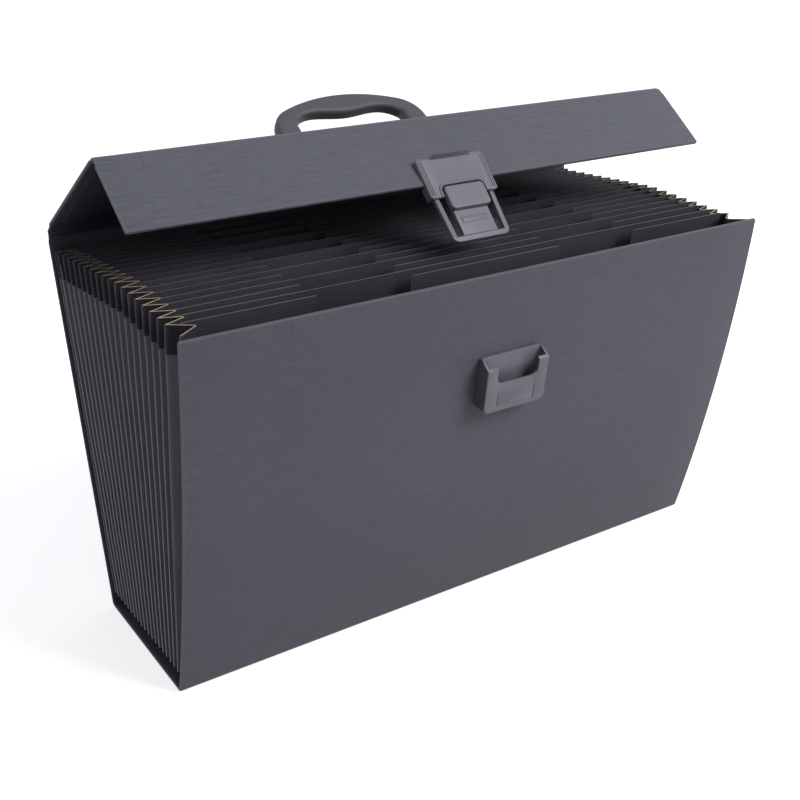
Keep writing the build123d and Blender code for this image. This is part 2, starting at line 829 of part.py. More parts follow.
def catch_point(rise, out):
    """A point of the catch's side view, up from its middle and out from its back."""
    return catch_origin + side(90 + catch_lean, rise) + side(180 + catch_lean, out)


catch_half_height = catch_height / 2
socket_half = catch_width / 2 - catch_side_wall
front_wall_back = catch_depth - catch_front_wall
with BuildPart() as catch:
    with BuildSketch(catch_plane) as outline:
        Rectangle(catch_width, catch_height)
        fillet(outline.vertices().group_by(Axis.Y)[0], catch_corner)
        fillet(outline.vertices().group_by(Axis.Y)[-1], catch_top_corner)
    extrude(amount=catch_depth)
    fillet(catch.faces().sort_by(Axis((0, 0, 0), catch_plane.z_dir))[-1].edges(), catch_edge)
    with BuildSketch(Plane.YZ):
        fill(
            [
                catch_point(catch_half_height, catch_back_wall),
                catch_point(catch_half_height - catch_arm_drop, catch_depth),
                catch_point(catch_half_height, 2 * catch_depth),
                catch_point(catch_height, catch_back_wall),
            ]
        )
    extrude(amount=cover_width / 2, both=True, mode=Mode.SUBTRACT)
    socket_foot = catch_floor - catch_half_height
    with BuildSketch(catch_plane.offset(catch_back_wall)):
        with Locations((0, (socket_foot + catch_height) / 2)):
            Rectangle(2 * socket_half, catch_height - socket_foot)
    extrude(amount=front_wall_back - catch_back_wall, mode=Mode.SUBTRACT)
    window_foot = catch_window_sill - catch_half_height
    with BuildSketch(catch_plane.offset(front_wall_back)) as window:
        with Locations((0, (window_foot + catch_height) / 2)):
            Rectangle(2 * catch_window_half, catch_height - window_foot)
        fillet(window.vertices().group_by(Axis.Y)[0], catch_window_corner)
    extrude(amount=catch_depth, mode=Mode.SUBTRACT)
    with BuildSketch(catch_plane.offset(catch_depth)):
        with Locations((0, catch_panel_foot + catch_panel_height / 2 - catch_half_height)):
            RectangleRounded(2 * catch_panel_half, catch_panel_height, catch_panel_corner)
            RectangleRounded(
                2 * (catch_panel_half - catch_panel_line),
                catch_panel_height - 2 * catch_panel_line,
                catch_panel_corner - catch_panel_line,
                mode=Mode.SUBTRACT,
            )
    extrude(amount=-catch_panel_depth, mode=Mode.SUBTRACT)
    with BuildSketch(catch_plane):
        with Locations(*catch_rivet_spots):
            Circle(rivet_radius + rivet_clearance)
    extrude(amount=catch_back_wall, mode=Mode.SUBTRACT)
catch.part.label = "catch"
export_step(catch.part, "parts/catch.step")

catch_plate_depth = board_thickness + front_lining_gap + lining_thickness + catch_plate_gap
catch_plate_face = catch_plane.offset(-catch_seat_gap - catch_plate_depth)
with BuildPart() as catch_plate:
    with BuildSketch(catch_plate_face):
        with Locations((0, -catch_rivet_drop)):
            Rectangle(catch_plate_length, catch_plate_width)
        with Locations(*catch_rivet_spots):
            Circle(rivet_radius + rivet_clearance, mode=Mode.SUBTRACT)
    extrude(amount=-plate_thickness)
catch_plate.part.label = "catch_plate"
export_step(catch_plate.part, "parts/catch_plate.step")

with BuildPart() as catch_rivets:
    with BuildSketch(catch_plate_face.offset(-plate_thickness)):
        with Locations(*catch_rivet_spots):
            Circle(rivet_head_radius)
    extrude(amount=-rivet_head_thickness)
    with BuildSketch(catch_plate_face.offset(-plate_thickness)):
        with Locations(*catch_rivet_spots):
            Circle(rivet_radius)
    extrude(amount=plate_thickness + catch_plate_depth + catch_back_wall)
catch_rivets.part.label = "catch_rivets"
export_step(catch_rivets.part, "parts/catch_rivets.step")
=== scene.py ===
# %% [markdown]
# An expanding file: a folding cover of wrapped board round a paper accordion, with a moulded
# handle and a clip latch. The solids and their joints come from the frame, and this script gives
# each piece the shape and finish that the eye sees. Everything is in metres.

import bmesh
import bpy
import json
import math
from mathutils import Matrix, Vector


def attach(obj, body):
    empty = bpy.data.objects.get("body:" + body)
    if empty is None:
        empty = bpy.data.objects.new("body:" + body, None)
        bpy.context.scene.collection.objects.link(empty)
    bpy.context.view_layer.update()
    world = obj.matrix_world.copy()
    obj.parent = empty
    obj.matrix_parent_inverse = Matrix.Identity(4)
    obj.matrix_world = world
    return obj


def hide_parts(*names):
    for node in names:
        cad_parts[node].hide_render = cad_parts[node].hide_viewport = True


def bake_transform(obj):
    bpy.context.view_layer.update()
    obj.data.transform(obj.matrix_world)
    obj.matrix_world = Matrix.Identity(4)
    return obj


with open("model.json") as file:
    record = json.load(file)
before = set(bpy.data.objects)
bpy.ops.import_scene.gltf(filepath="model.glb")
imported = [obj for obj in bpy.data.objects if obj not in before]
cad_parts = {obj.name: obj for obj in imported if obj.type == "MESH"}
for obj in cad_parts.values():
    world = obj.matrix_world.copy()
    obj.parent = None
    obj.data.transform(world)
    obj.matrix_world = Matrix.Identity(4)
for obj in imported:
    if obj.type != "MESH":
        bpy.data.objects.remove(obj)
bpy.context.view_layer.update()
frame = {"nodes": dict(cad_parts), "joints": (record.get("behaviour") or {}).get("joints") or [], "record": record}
MM = 0.001

# %% [markdown]
# The frame's joints say where every crease lies, so no place is typed twice. The ratios say how
# far each wall of the accordion turns while the front board turns by one.

# %% Read the creases and the ratios
crease = {joint["name"]: Vector(joint["pos_m"]) for joint in frame["joints"]}
ratio = {c["joint"]: c["ratio"] for c in frame["record"]["behaviour"]["couplings"]}
front_foot = crease["accordion_close"]
back_foot = crease["back_lean"]
back_crease = crease["lid_fold"]
lid_crease = crease["lid_open"]
lid_front = crease["flap_fold"]
flap_crease = crease["flap_swing"]
divider_count = sum(name.startswith("divider_") for name in crease)
print(len(crease), "joints,", divider_count, "dividers")

# %% [markdown]
# The camera stands to the left in front and looks down a little. Its place, turn and lens were
# worked out from the straight edges and the rounded sizes of the file, with a square picture.

# %% Camera
camera_place = Vector((-379.4, -553.3, 411.9)) * MM
camera_yaw = 0.586
camera_pitch = 0.4208
camera_roll = 0.0013
focal_px = 1159.4
picture_px = 800

ahead = Vector(
    (
        math.sin(camera_yaw) * math.cos(camera_pitch),
        math.cos(camera_yaw) * math.cos(camera_pitch),
        -math.sin(camera_pitch),
    )
)
camera_data = bpy.data.cameras.new("camera")
camera_data.sensor_width = 36.0
camera_data.lens = focal_px * camera_data.sensor_width / picture_px
camera = bpy.data.objects.new("camera", camera_data)
bpy.context.scene.collection.objects.link(camera)
to_right = Vector((math.cos(camera_yaw), -math.sin(camera_yaw), 0))
to_top = to_right.cross(ahead)
turned = Matrix((to_right, to_top, -ahead)).transposed().to_4x4()
camera.matrix_world = Matrix.Translation(camera_place) @ turned @ Matrix.Rotation(camera_roll, 4, "Z")
bpy.context.scene.camera = camera
print("lens", round(camera_data.lens, 2), "mm")

# %% [markdown]
# Colours are written as the hex numbers that a picture editor shows, and the shader wants them
# linear. One helper adds a node with its settings and links, and every tree below uses it. A short
# kind such as Math or Mix stands for the shader node of that name.

# %% Colour and node helpers
def linear(hex_colour):
    """An sRGB hex colour as linear red, green, blue and alpha."""
    parts = [int(hex_colour[place : place + 2], 16) / 255 for place in (1, 3, 5)]
    return [p / 12.92 if p <= 0.04045 else ((p + 0.055) / 1.055) ** 2.4 for p in parts] + [1.0]


def put(tree, kind, sockets=None, **settings):
    """Add a node, give it its settings, and link or fill its sockets."""
    node = tree.nodes.new(kind if "Node" in kind else f"ShaderNode{kind}")
    for name, value in settings.items():
        setattr(node, name, value)
    for socket, value in (sockets or {}).items():
        if isinstance(value, bpy.types.NodeSocket):
            tree.links.new(value, node.inputs[socket])
        else:
            node.inputs[socket].default_value = value
    return node


def surface(name):
    """A new material's name, its tree and its principled shader."""
    material = bpy.data.materials.new(name)
    material.use_nodes = True
    return material, material.node_tree, material.node_tree.nodes["Principled BSDF"]


# %% [markdown]
# The cover is board wrapped in a plastic film that was embossed with a linen grain: threads about
# 0.9 mm wide that run on for 18 mm across and 10 mm along. The grain follows the cover's own map, x
# across and the running length along it, so that it turns with the creases. The eye sees a dull
# grey with a faint cross hatch, and the rounded edges carry a painted highlight that makes them
# paler, as in the photograph. There the front also gets darker towards its foot and its top edge.
# The soft light here leaves that shade out, so it is painted into the film, and it fades out again
# under the bottom. Its places are distances from the front board's top edge.

# %% Linen-embossed cover film
thread_width = 0.9 * MM
warp_run = 10.0 * MM
weft_run = 18.0 * MM
warp_share = 0.36
foot_shade = (110.0 * MM, 225.0 * MM)
top_shade = (80.0 * MM, 0.0)
bottom_fade = (400.0 * MM, 300.0 * MM)

cover_film, tree, shader = surface("linen_embossed_film")
place = put(tree, "UVMap", uv_map="cloth").outputs["UV"]
threads = []
for scale in ((1 / weft_run, 1 / thread_width, 1), (1 / thread_width, 1 / warp_run, 1)):
    thread = put(tree, "Mapping", {"Vector": place, "Scale": scale}).outputs[0]
    uneven = {"Vector": thread, "Scale": 1.0, "Detail": 2.0, "Roughness": 0.6}
    threads.append(put(tree, "TexNoise", uneven).outputs[0])
grain = put(tree, "Mix", {0: warp_share, 2: threads[0], 3: threads[1]}).outputs[0]
tone = put(tree, "MapRange", {"Value": grain, "From Min": 0.38, "From Max": 0.62}).outputs[0]
film_colour = put(
    tree, "Mix", {0: tone, 6: linear("#4b4c55"), 7: linear("#5b5c65")}, data_type="RGBA"
).outputs[2]
broad = put(tree, "TexNoise", {"Vector": place, "Scale": 7.0, "Detail": 2.0}).outputs[0]
broad = put(tree, "MapRange", {"Value": broad, "From Min": 0.35, "From Max": 0.65, "To Max": 0.25})
patchy = put(
    tree, "Mix", {0: broad.outputs[0], 6: film_colour, 7: linear("#47484f")}, data_type="RGBA"
).outputs[2]
# Painted highlight: the rounded edges, where the rim attribute is high, are painted paler.
rim = put(tree, "Attribute", attribute_name="rim").outputs["Fac"]
highlight_share = put(tree, "Math", {0: rim, 1: 0.55}, operation="MULTIPLY").outputs[0]
edge_highlighted = put(
    tree, "Mix", {0: highlight_share, 6: patchy, 7: linear("#85868f")}, data_type="RGBA"
).outputs[2]
along = put(tree, "SeparateXYZ", {0: place}).outputs[1]
shares = []
for (start, end), strength in ((foot_shade, 0.27), (bottom_fade, 1.0), (top_shade, 0.17)):
    span = {"Value": along, "From Min": start, "From Max": end, "To Max": strength}
    shares.append(put(tree, "MapRange", span).outputs[0])
at_foot = put(tree, "Math", {0: shares[0], 1: shares[1]}, operation="MULTIPLY").outputs[0]
dark = put(tree, "Math", {0: at_foot, 1: shares[2]}, operation="ADD").outputs[0]
shaded = put(tree, "Mix", {0: dark, 6: edge_highlighted, 7: linear("#2f3037")}, data_type="RGBA").outputs[2]
tree.links.new(shaded, shader.inputs["Base Color"])
bump = put(tree, "Bump", {"Height": grain, "Strength": 0.3, "Distance": 0.0001})
tree.links.new(bump.outputs[0], shader.inputs["Normal"])
spread = {"Value": grain, "From Min": 0.3, "From Max": 0.7, "To Min": 0.54, "To Max": 0.66}
tree.links.new(put(tree, "MapRange", spread).outputs[0], shader.inputs["Roughness"])
shader.inputs["IOR"].default_value = 1.46
shader.inputs["Specular IOR Level"].default_value = 0.4
print("made", cover_film.name)

# %% [markdown]
# Paper and card are drawn by their fibres: a fine mottle about 1 mm across and a little bump. The
# linings are near black, the dividers a dark slate, and the pleats are a slate card with paler
# folds, as in the photograph. One loop makes all of them from their own colours.

# %% Papers and cards
papers = {
    "black_lining_paper": ("#1b1b24", "#25252f", 0.62, "#25252f"),
    "slate_divider_card": ("#2e2e35", "#3a3a41", 0.75, "#85848a"),
    "slate_pleat_card": ("#4e4e57", "#5c5c65", 0.72, "#9b9ba5"),
    "floor_paper": ("#2c2c33", "#38383f", 0.8, "#4a4a52"),
    "bare_card_edge": ("#a08f6f", "#c4b390", 0.85, "#c4b390"),
    "dark_card_edge": ("#5c5a5f", "#77757a", 0.85, "#77757a"),
}
paper = {}
for name, (low_colour, high_colour, roughness, fold_colour) in papers.items():
    paper[name], tree, shader = surface(name)
    place = put(tree, "TexCoord").outputs["Object"]
    mottle = put(tree, "TexNoise", {"Vector": place, "Scale": 900.0, "Detail": 3.0}).outputs[0]
    cloud = put(tree, "TexNoise", {"Vector": place, "Scale": 22.0, "Detail": 2.0}).outputs[0]
    both = put(tree, "Math", {0: mottle, 1: cloud}, operation="ADD").outputs[0]
    tone = put(tree, "MapRange", {"Value": both, "From Min": 0.7, "From Max": 1.3}).outputs[0]
    colour = put(
        tree, "Mix", {0: tone, 6: linear(low_colour), 7: linear(high_colour)}, data_type="RGBA"
    ).outputs[2]
    fold = put(tree, "Attribute", attribute_name="fold").outputs["Fac"]
    folded = put(tree, "Mix", {0: fold, 6: colour, 7: linear(fold_colour)}, data_type="RGBA").outputs[2]
    tree.links.new(folded, shader.inputs["Base Color"])
    bump = put(tree, "Bump", {"Height": mottle, "Strength": 0.25, "Distance": 0.0001})
    tree.links.new(bump.outputs[0], shader.inputs["Normal"])
    shader.inputs["Roughness"].default_value = roughness
    shader.inputs["Specular IOR Level"].default_value = 0.3
print("made", len(paper), "papers")

# %% [markdown]
# In the photograph the dividers get darker downwards from their tabs, and the pleats look black
# inside the rim. The soft light here leaves both shades out, so they are painted into the cards.
# The divider card gets darker over the 35 mm below its top edge, so that every tab stands out
# against the card behind it. The pleat card turns black over its top 12 mm, on both its faces,
# and outside the tape is in front of that band.

# %% Darker card between the tabs and inside the rim
shades = {
    "slate_divider_card": (221 * MM, 186 * MM, "#131319"),
    "slate_pleat_card": (211 * MM, 213 * MM, "#1c1c24"),
}
for name, (start, end, shade) in shades.items():
    tree = paper[name].node_tree
    shader = tree.nodes["Principled BSDF"]
    colour = shader.inputs["Base Color"].links[0].from_socket
    place = put(tree, "TexCoord").outputs["Object"]
    height = put(tree, "SeparateXYZ", {0: place}).outputs[2]
    span = {"Value": height, "From Min": start, "From Max": end, "To Max": 0.9}
    depth = put(tree, "MapRange", span).outputs[0]
    darker = put(tree, "Mix", {0: depth, 6: colour, 7: linear(shade)}, data_type="RGBA")
    tree.links.new(darker.outputs[2], shader.inputs["Base Color"])
    print("shaded", paper[name].name)

# %% [markdown]
# The dark tape round the top of the pleats is taken as book cloth with a plain weave. Its threads
# are drawn 0.8 mm wide, coarser than such a cloth has them, so that they show. It looks darker
# than the card under it, with a pale line on each outer fold, as in the photograph.

# %% Black cloth tape
cloth_tape, tree, shader = surface("black_cloth_tape")
place = put(tree, "TexCoord").outputs["Object"]
across = put(tree, "TexWave", {"Vector": place, "Scale": 200.0}, bands_direction="Z").outputs[1]
around = put(tree, "TexWave", {"Vector": place, "Scale": 200.0}, bands_direction="Y").outputs[1]
weave = put(tree, "Math", {0: across, 1: around}, operation="MULTIPLY").outputs[0]
colour = put(
    tree, "Mix", {0: weave, 6: linear("#1a1a21"), 7: linear("#27272f")}, data_type="RGBA"
).outputs[2]
fold = put(tree, "Attribute", attribute_name="fold").outputs["Fac"]
folded = put(tree, "Mix", {0: fold, 6: colour, 7: linear("#7d7d86")}, data_type="RGBA").outputs[2]
tree.links.new(folded, shader.inputs["Base Color"])
bump = put(tree, "Bump", {"Height": weave, "Strength": 0.3, "Distance": 0.0001})
tree.links.new(bump.outputs[0], shader.inputs["Normal"])
shader.inputs["Roughness"].default_value = 0.8
shader.inputs["Specular IOR Level"].default_value = 0.15
print("made", cloth_tape.name)

# %% [markdown]
# The handle, latch and catch are taken as injection-moulded plastic, the handle with a matt texture
# of about 0.4 mm and the latch with a finer one. Moulded plastic has one colour all through, so
# only the texture, a faint flow mottle and the gloss tell it from paint. The shaded plastic is the
# same one, made darker for places that look darker in the photograph than under the light here.

# %% Moulded plastics
plastics = {
    "moulded_grip_plastic": ("#404047", "#47474e", 0.56, 2500.0),
    "moulded_latch_plastic": ("#5d5d67", "#65656f", 0.48, 4000.0),
    "shaded_latch_plastic": ("#3e3e47", "#484851", 0.6, 4000.0),
    "moulded_catch_plastic": ("#61616a", "#696972", 0.45, 4000.0),
}
plastic = {}
for name, (low_colour, high_colour, roughness, grit) in plastics.items():
    plastic[name], tree, shader = surface(name)
    place = put(tree, "TexCoord").outputs["Object"]
    texture = put(tree, "TexNoise", {"Vector": place, "Scale": grit, "Detail": 1.0}).outputs[0]
    flow = put(tree, "TexNoise", {"Vector": place, "Scale": 60.0, "Detail": 2.0}).outputs[0]
    colour = put(
        tree, "Mix", {0: flow, 6: linear(low_colour), 7: linear(high_colour)}, data_type="RGBA"
    ).outputs[2]
    tree.links.new(colour, shader.inputs["Base Color"])
    bump = put(tree, "Bump", {"Height": texture, "Strength": 0.2, "Distance": 0.00005})
    tree.links.new(bump.outputs[0], shader.inputs["Normal"])
    spread = {"Value": texture, "To Min": roughness - 0.05, "To Max": roughness + 0.08}
    gloss = put(tree, "MapRange", spread).outputs[0]
    tree.links.new(gloss, shader.inputs["Roughness"])
print("made", len(plastic), "plastics")

# %% [markdown]
# The backing plates and the rivets are hidden in the photograph. They are taken as zinc-plated
# steel strip and aluminium. Rolling leaves fine lines along a strip, so the roughness is streaked
# along x.

# %% Plate steel and rivet aluminium
metals = {"zinc_plated_strip": ("#b9bcc0", 0.38), "aluminium_rivet": ("#c9cbce", 0.3)}
metal = {}
for name, (hex_colour, roughness) in metals.items():
    metal[name], tree, shader = surface(name)
    place = put(tree, "TexCoord").outputs["Object"]
    stretched = put(tree, "Mapping", {"Vector": place, "Scale": (40, 2500, 2500)}).outputs[0]
    lines = put(tree, "TexNoise", {"Vector": stretched, "Scale": 1.0, "Detail": 2.0}).outputs[0]
    spread = {"Value": lines, "To Min": roughness - 0.1, "To Max": roughness + 0.15}
    streaks = put(tree, "MapRange", spread).outputs[0]
    tree.links.new(streaks, shader.inputs["Roughness"])
    bump = put(tree, "Bump", {"Height": lines, "Strength": 0.1, "Distance": 0.00005})
    tree.links.new(bump.outputs[0], shader.inputs["Normal"])
    shader.inputs["Base Color"].default_value = linear(hex_colour)
    shader.inputs["Metallic"].default_value = 1.0
print("made", len(metal), "metals")

# %% [markdown]
# The whole cover is one run seen from the side: down the bowed front board, under the bottom, up
# the back, over the two creases behind the lid, along the lid and down the flap. A run made of
# straight and curved lengths gives a point and a direction for any distance along it, so boards
# and creases can be cut from the same run and meet flush.

# %% The cover's run in the side view
board_thickness = 2.5 * MM
front_height = 225.0 * MM
front_foot_lean = math.radians(15.1)
front_top_lean = math.radians(5.0)
flap_height = 46.5 * MM
flap_fall = math.radians(37.2)
crease_radius = 3.2 * MM


def heading(start, end):
    """The direction from one crease to the next, as an angle in the side view."""
    angle = math.atan2(end.z - start.z, end.y - start.y)
    return angle if angle >= 0 else angle + 2 * math.pi


headings = [
    0.0,
    heading(back_foot, back_crease),
    heading(back_crease, lid_crease),
    heading(lid_crease, lid_front),
    heading(lid_front, flap_crease),
    math.pi + flap_fall,
]
lengths = [
    (back_foot - front_foot).length,
    (back_crease - back_foot).length,
    (lid_crease - back_crease).length,
    (lid_front - lid_crease).length,
    (flap_crease - lid_front).length,
    flap_height,
]
front_bend = (front_foot_lean - front_top_lean) / front_height
front_radius = 1 / front_bend
front_centre_y = front_foot.y + front_radius * math.cos(front_foot_lean)
front_centre_z = front_foot.z + front_radius * math.sin(front_foot_lean)
front_top = Vector(
    (
        0,
        front_centre_y - front_radius * math.cos(front_top_lean),
        front_centre_z - front_radius * math.sin(front_top_lean),
    )
)

stretches = []
crease_spans = []
point = front_top.copy()
angle = front_top_lean - math.pi / 2
turns = [headings[0] - (front_foot_lean - math.pi / 2)]
turns += [after - before for before, after in zip(headings, headings[1:])]
tangents = [crease_radius * math.tan(turn / 2) for turn in turns]


def lay(length, bend):
    """Add a stretch to the run, straight or bending evenly, and move on to its end."""
    global point, angle
    begin = stretches[-1]["begin"] + stretches[-1]["length"] if stretches else 0.0
    stretches.append({"begin": begin, "length": length, "bend": bend, "point": point, "angle": angle})
    point, angle = reach(stretches[-1], length)


def reach(stretch, distance):
    """The point and direction at a distance along a stretch."""
    end_angle = stretch["angle"] + stretch["bend"] * distance
    if stretch["bend"]:
        step_y = (math.sin(end_angle) - math.sin(stretch["angle"])) / stretch["bend"]
        step_z = (math.cos(stretch["angle"]) - math.cos(end_angle)) / stretch["bend"]
    else:
        step_y = distance * math.cos(end_angle)
        step_z = distance * math.sin(end_angle)
    return stretch["point"] + Vector((0, step_y, step_z)), end_angle


lay(front_height - tangents[0], front_bend)
for number, length in enumerate(lengths):
    lay((headings[number] - angle) * crease_radius, 1 / crease_radius)
    crease_spans.append((stretches[-1]["begin"], stretches[-1]["begin"] + stretches[-1]["length"]))
    after = tangents[number + 1] if number + 1 < len(tangents) else 0.0
    lay(length - tangents[number] - after, 0.0)
run_end = stretches[-1]["begin"] + stretches[-1]["length"]
print("run", round(run_end / MM, 1), "mm, ends at", [round(v / MM, 1) for v in point])


def on_run(distance):
    """The point on the cover's outer face and the way out of it, at a distance along the run."""
    stretch = [s for s in stretches if s["begin"] <= distance + 1e-9][-1]
    place, way = reach(stretch, distance - stretch["begin"])
    return place, Vector((0, math.sin(way), -math.cos(way)))


# %% [markdown]
# A wrapped board has soft edges all round, because the film is pulled over them, and its free
# corners are round. It is lofted from rings: each ring is the board's cross-cut with rounded
# edges, and near a free end the rings get thinner and narrower along a quarter circle. A crease
# is the same loft without a free end, drawn in a little at its ends where there is no board.

# %% Loft for boards and creases
half_width = 385.0 / 2 * MM
edge_radius = 0.95 * MM
corner_radius = 1.2 * MM
edge_steps = 4
corner_steps = 6
face_columns = 12


def ring(distance, half, thick):
    """One cross-cut of the cover as corners in space, with its map place and painted edge highlight."""
    place, out = on_run(distance)
    middle = board_thickness / 2
    radius = min(edge_radius, thick)
    cut = []
    for quarter, (side, near) in enumerate(((1, -1), (1, 1), (-1, 1), (-1, -1))):
        for step in range(edge_steps + 1):
            turn = math.pi / 2 * (quarter - 1 + step / edge_steps)
            x = side * (half - radius) + radius * math.cos(turn)
            depth = middle + near * (thick - radius) + radius * math.sin(turn)
            cut.append((x, depth, math.sin(math.pi * step / edge_steps)))
        if quarter % 2:
            for step in range(1, face_columns):
                share = step / face_columns
                x = side * (half - radius) * (1 - 2 * share)
                cut.append((x, middle + near * thick, 0.0))
    return [(place + Vector((x, 0, 0)) - out * depth, (x, distance), pale) for x, depth, pale in cut]


def loft(name, rings, outer, inner):
    """A closed piece from its rings, with the cover's own map, painted edge highlight and two finishes."""
    points = [corner for loop in rings for corner in loop]
    around = len(rings[0])
    faces = [list(range(around))]
    for low in range(len(rings) - 1):
        for place in range(around):
            beside = (place + 1) % around
            faces.append(
                [
                    low * around + place,
                    low * around + beside,
                    (low + 1) * around + beside,
                    (low + 1) * around + place,
                ]
            )
    faces.append([(len(rings) - 1) * around + place for place in range(around)])
    mesh = bpy.data.meshes.new(name)
    mesh.from_pydata([p[0] for p in points], [], faces)
    shape = bmesh.new()
    shape.from_mesh(mesh)
    bmesh.ops.recalc_face_normals(shape, faces=shape.faces)
    shape.to_mesh(mesh)
    shape.free()
    mesh.materials.append(outer)
    mesh.materials.append(inner)
    # The inner face and the inner halves of the edges take the black lining paper. The lining is real; on the
    # film's turned-in border and the inner edges the black is painted shade.
    inner_columns = range(edge_steps + 1, 3 * edge_steps + face_columns + 2)
    for face in mesh.polygons:
        columns = [place % around for place in face.vertices]
        if len(columns) == 4 and all(column in inner_columns for column in columns):
            face.material_index = 1
    cloth_map = mesh.uv_layers.new(name="cloth")
    for loop in mesh.loops:
        cloth_map.data[loop.index].uv = points[loop.vertex_index][1]
    pale = mesh.attributes.new("rim", "FLOAT", "POINT")
    pale.data.foreach_set("value", [p[2] for p in points])
    for face in mesh.polygons:
        face.use_smooth = True
    mesh.set_sharp_from_angle(angle=math.radians(40))
    piece = bpy.data.objects.new(name, mesh)
    bpy.context.scene.collection.objects.link(piece)
    return piece


def board(name, begin, end, steps, free):
    """A wrapped board between two distances along the run, with round corners at a free end."""
    insets = [edge_radius * (1 - math.cos(math.pi / 2 * n / edge_steps)) for n in range(edge_steps + 1)]
    insets += [
        corner_radius * (1 - math.cos(math.pi / 2 * n / corner_steps)) for n in range(2, corner_steps + 1)
    ]
    insets = sorted(set(round(i, 7) for i in insets))
    clear = corner_radius + 0.1 * MM
    distances = [begin + (end - begin) * n / steps for n in range(steps + 1)]
    if free == "begin":
        distances = [begin + i for i in insets] + [d for d in distances if d > begin + clear]
    if free == "end":
        distances = [d for d in distances if d < end - clear] + [end - i for i in insets[::-1]]
    rings = []
    for distance in distances:
        gap = {"begin": distance - begin, "end": end - distance, None: 1.0}[free]
        thick = board_thickness / 2
        half = half_width
        if gap < edge_radius:
            thick += math.sqrt(edge_radius**2 - (edge_radius - gap) ** 2) - edge_radius
        if gap < corner_radius:
            half += math.sqrt(corner_radius**2 - (corner_radius - gap) ** 2) - corner_radius
        rings.append(ring(distance, half, thick))
    return loft(name, rings, cover_film, paper["black_lining_paper"])


# %% [markdown]
# Five large boards are cut from the run. They stop 3 mm short of each crease, and the creases
# take over there. Only the front board's top and the flap's bottom are free ends. Each board is
# given by the numbers of the creases before and after it, and its steps along the run.

# %% Boards
crease_reach = 3.0 * MM
board_plan = [
    ("front_cover", None, 0, 24, "front", "front_board", "begin"),
    ("bottom_cover", 0, 1, 6, "base", "bottom_board", None),
    ("back_cover", 1, 2, 12, "back", "back_board", None),
    ("lid_cover", 3, 4, 8, "lid", "lid_board", None),
    ("flap_cover", 5, None, 6, "flap", "flap_board", "end"),
]
for name, before, after, steps, body, node, free in board_plan:
    begin = 0.0 if before is None else crease_spans[before][1] + crease_reach
    end = run_end if after is None else crease_spans[after][0] - crease_reach
    piece = board(name, begin, end, steps, free)
    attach(piece, body)
    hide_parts(node)
print("boards", [plan[0] for plan in board_plan])

# %% [markdown]
# Six creases join the boards. On such a file the film simply runs on over a scored line, so each
# crease is a short length of the same run. Each is lofted at rest and left there, not attached to
# a body; the two bodies named beside it in the table are not used. The last number is how far, in
# millimetres, the film draws in at the crease's two ends.

# %% Creases
crease_plan = [
    ("front_foot_crease", 0, "front", "base", [], 0.0),
    ("back_foot_crease", 1, "base", "back", [], 0.0),
    ("back_top_crease", 2, "back", "lid_hinge", ["lid_hinge_strip"], 0.5),
    ("lid_back_crease", 3, "lid_hinge", "lid", ["lid_hinge_strip"], 0.8),
    ("lid_front_crease", 4, "lid", "flap_hinge", ["flap_hinge_strip"], 0.5),
    ("flap_crease", 5, "flap_hinge", "flap", ["flap_hinge_strip"], 0.5),
]
meeting = {
    2: (crease_spans[2][1] + crease_spans[3][0]) / 2,
    4: (crease_spans[4][1] + crease_spans[5][0]) / 2,
}
side_steps = 3
bend_steps = 8
for name, number, before, after, nodes, draw_in in crease_plan:
    low, high = crease_spans[number]
    begin = meeting.get(number - 1, low - crease_reach)
    end = meeting.get(number, high + crease_reach)
    stations = [begin + (low - begin) * n / side_steps for n in range(side_steps)]
    stations += [low + (high - low) * n / bend_steps for n in range(bend_steps + 1)]
    stations += [high + (end - high) * n / side_steps for n in range(1, side_steps + 1)]
    rings = []
    for distance in stations:
        near_crease = min(distance - begin, end - distance) / (min(low - begin, end - high) + 1e-9)
        ease = max(0.0, min(1.0, near_crease))
        inset = draw_in * MM * ease * ease * (3 - 2 * ease)
        rings.append(ring(distance, half_width - inset, board_thickness / 2))
    piece = loft(name, rings, cover_film, paper["black_lining_paper"])
    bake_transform(piece)
    if nodes:
        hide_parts(*nodes)
print("creases", len(crease_plan))

# %% [markdown]
# Pleats and dividers are both card with a cut edge, so their node trees begin and end alike. They
# begin with named sizes and two materials. They end when the flat sheet has got its thickness, is
# a real mesh and has taken its card and its cut edge.

# %% What both node trees share
def rule(name, sizes):
    """A node tree that takes a geometry, named sizes and two materials, and gives a geometry."""
    tree = bpy.data.node_groups.new(name, "GeometryNodeTree")
    tree.interface.new_socket("Geometry", in_out="INPUT", socket_type="NodeSocketGeometry")
    for label in sizes:
        tree.interface.new_socket(label, in_out="INPUT", socket_type="NodeSocketFloat")
    for label in ("Card", "Cut edge"):
        tree.interface.new_socket(label, in_out="INPUT", socket_type="NodeSocketMaterial")
    tree.interface.new_socket("Geometry", in_out="OUTPUT", socket_type="NodeSocketGeometry")
    return tree


def thicken(tree, sheet, thickness):
    """Give a sheet its thickness behind its face and close it all round."""
    back = put(tree, "Math", {0: thickness, 1: -1.0}, operation="MULTIPLY").outputs[0]
    push = {"Mesh": sheet, "Offset Scale": back, "Individual": False}
    pushed = put(tree, "GeometryNodeExtrudeMesh", push, mode="FACES").outputs["Mesh"]
    turned_back = put(tree, "GeometryNodeFlipFaces", {"Mesh": pushed}).outputs[0]
    joined = put(tree, "GeometryNodeJoinGeometry")
    tree.links.new(turned_back, joined.inputs[0])
    tree.links.new(sheet, joined.inputs[0])
    merge = {"Geometry": joined.outputs[0], "Distance": 1e-6}
    return put(tree, "GeometryNodeMergeByDistance", merge).outputs[0]


